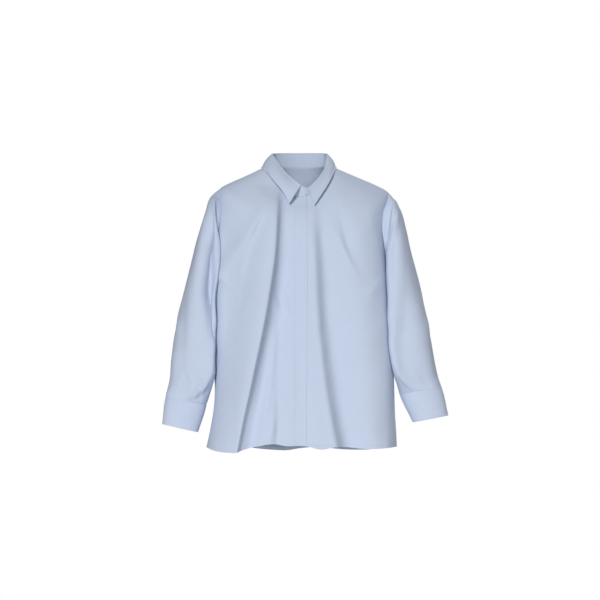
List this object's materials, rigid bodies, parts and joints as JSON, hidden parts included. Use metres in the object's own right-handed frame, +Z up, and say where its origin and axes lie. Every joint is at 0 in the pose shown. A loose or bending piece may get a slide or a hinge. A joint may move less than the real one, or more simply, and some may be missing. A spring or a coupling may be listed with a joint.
{
  "type": "broadcloth shirt",
  "caption": "Long-sleeved broadcloth shirt with a pointed collar and a hidden button placket, buttoned up and filled out as worn, with no wearer.",
  "frame": {"origin": "middle of the neck opening at the height of the shoulders, where a wearer or a dress form holds the shirt up", "axes": "+X towards the wearer's left, the front faces -Y, +Z up along the shirt's length, which is its longest side"},
  "size_m": [0.698, 0.2665, 0.7328],
  "materials": {
    "broadcloth": "pale blue broadcloth with a dry, smooth, faintly crisp surface",
    "button": "pale blue satin plastic"
  },
  "bodies": {
    "root": {"back": "broadcloth", "front_left": "broadcloth", "front_right": "broadcloth", "fly_placket": "broadcloth", "collar_stand": "broadcloth", "collar_fall": "broadcloth", "sleeve_left": "broadcloth", "sleeve_right": "broadcloth", "cuff_left": "broadcloth", "cuff_right": "broadcloth", "cuff_button_left": "button", "cuff_button_right": "button"}
  },
  "joints": []
}
